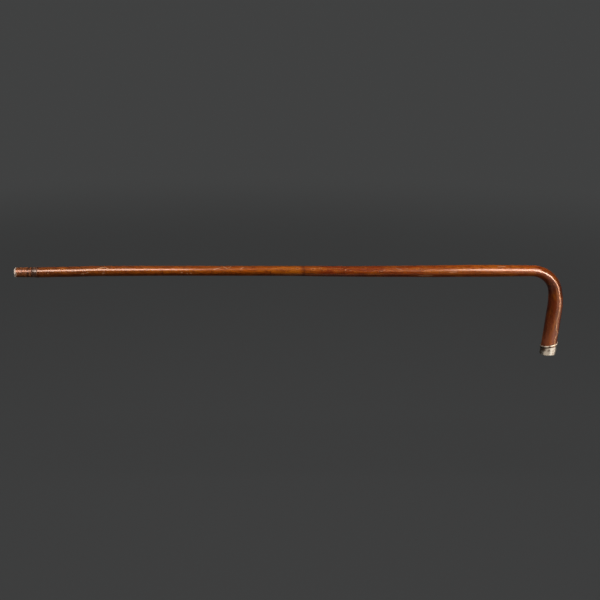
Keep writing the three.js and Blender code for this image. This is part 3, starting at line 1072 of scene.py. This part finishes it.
def make_light(name, place, target, along, width, height, power, color=(1, 1, 1), shading=False,
               gloss=True, receivers=None):
    """A soft box with its width along a direction. It isn't seen itself. It may shade matt surfaces,
    put gloss on shiny ones or both, and it may light a collection alone."""
    lamp = bpy.data.lights.new(name, "AREA")
    lamp.shape = "RECTANGLE"
    lamp.size = width
    lamp.size_y = height
    lamp.energy = power
    lamp.color = color
    thing = bpy.data.objects.new(name, lamp)
    back = (Vector(place) - Vector(target)).normalized()
    up = back.cross(Vector(along)).normalized()
    side = up.cross(back)
    thing.matrix_world = Matrix.Translation(place) @ Matrix((side, up, back)).transposed().to_4x4()
    thing.visible_camera = False
    thing.visible_diffuse = shading
    thing.visible_glossy = gloss
    if receivers is not None:
        thing.light_linking.receiver_collection = receivers
    bpy.context.scene.collection.objects.link(thing)


def collect_cane():
    """Collection of all but the floor, for low lights that would leave a glow on the floor."""
    cane = bpy.data.collections.new("cane")
    for thing in bpy.context.scene.objects:
        if thing.type == "MESH" and thing.name != "floor":
            cane.objects.link(thing)
    return cane


def make_shaft_lights(cane):
    """A high light that shades the whole cane, a low one under the handle, and boxes for the gloss
    along the shaft."""
    level = (1, 0, 0)
    make_light("key", (0.45, -0.60, 1.55), (0.45, 0, 0), level, 1.7, 0.8, 27,
               shading=True, gloss=False)
    make_light("low fill", (0.86, -0.50, 0.0), (0.8, 0, 0), level, 0.3, 0.15, 0.45,
               shading=True, gloss=False, receivers=cane)
    make_light("box left", (-0.325, -1.06, 1.0), (0.2, 0, 0), (1, 0, -0.05), 0.79, 0.8, 30)
    make_light("box right", (1.34, -1.18, 0.82), (0.88, 0, 0), level, 0.63, 0.8, 25)
    make_light("front card", (0.8, -1.1, 0.4), (0.64, 0, 0), level, 0.24, 0.2, 0.72,
               color=(1.0, 0.86, 0.7))


def make_handle_lights(cane):
    """Boxes for the gloss round the bend and down the nose, and low ones that the cap mirrors."""
    make_light("corner box", (1.502, -1.035, 0.314), (0.88, 0, -0.01), (0.857, 0.515, 0),
               0.62, 0.4, 21)
    make_light("bend box", (1.805, -0.818, 0.155), (0.88, 0, -0.03), (0.663, 0.749, -0.64),
               0.4, 0.24, 6.4, color=(1.0, 0.76, 0.6))
    make_light("drop box", (1.917, -0.686, -0.095), (0.88, 0, -0.03), (0.552, 0.834, 0),
               0.2, 0.34, 5.0, color=(1.0, 0.72, 0.54))
    make_light("nose box", (1.622, -0.294, -0.199), (0.894, 0, -0.046), (0.37, 0.93, -0.4),
               0.34, 0.1, 0.56, color=(1.0, 0.66, 0.46))
    make_light("edge card", (1.275, -0.068, -0.255), (0.89, 0, -0.12), (0.17, 0.98, 0),
               0.2, 0.3, 0.19)
    make_light("low box", (1.241, -0.401, -0.232), (0.89, 0, -0.09), (1, 1, 0),
               0.67, 0.3, 0.73, shading=True, receivers=cane)
    make_light("low card", (0.681, -0.314, -0.3), (0.886, 0, -0.135), (0.743, -0.669, 0),
               0.635, 0.2, 0.165, color=(1.0, 0.92, 0.86))
    make_light("left card", (0.545, 0.06, -0.335), (0.886, 0, -0.135), (0.17, -0.98, 0),
               0.2, 0.12, 0.01)


def make_tip_lights(cane):
    """Low lights that shade the front of the tip and its ground face."""
    make_light("tip fill", (-0.24, -0.36, -0.04), (0.005, 0, 0), (0.82, -0.56, 0), 0.3, 0.24, 0.2,
               shading=True, gloss=False, receivers=cane)
    make_light("tip card", (-0.6, -0.05, -0.18), (0, 0, 0), (0.1, 1, 0), 0.4, 0.3, 1.7,
               shading=True, gloss=False, receivers=cane)


# Camera: the place and the lens that the photograph's perspective gives. Lens and sensor are in mm.
CAMERA_PLACE = (0.4667, -1.1929, 0.3060)
CAMERA_DROP = math.radians(16.5)
CAMERA_LENS = 45
CAMERA_SENSOR = 36


def make_camera():
    """Camera that looks along +Y and a little down."""
    lens = bpy.data.cameras.new("camera")
    lens.sensor_width = CAMERA_SENSOR
    lens.lens = CAMERA_LENS
    lens.clip_start = 0.01
    lens.clip_end = 100
    thing = bpy.data.objects.new("camera", lens)
    thing.location = CAMERA_PLACE
    thing.rotation_euler = (math.pi / 2 - CAMERA_DROP, 0, 0)
    bpy.context.scene.collection.objects.link(thing)
    bpy.context.scene.camera = thing


make_stick(wood_material())
worn_silver = silver_material()
make_cap_wall(worn_silver)
make_cap_bead(wire_material())
make_cap_disc(worn_silver)
make_ground_plate(ground_metal_material())
make_sleeve(copper_material())
make_collar(horn_material())
dress_filling(pitch_material())

make_floor()
make_world()
cane_alone = collect_cane()
make_shaft_lights(cane_alone)
make_handle_lights(cane_alone)
make_tip_lights(cane_alone)
make_camera()
bpy.context.scene.view_settings.view_transform = "Standard"
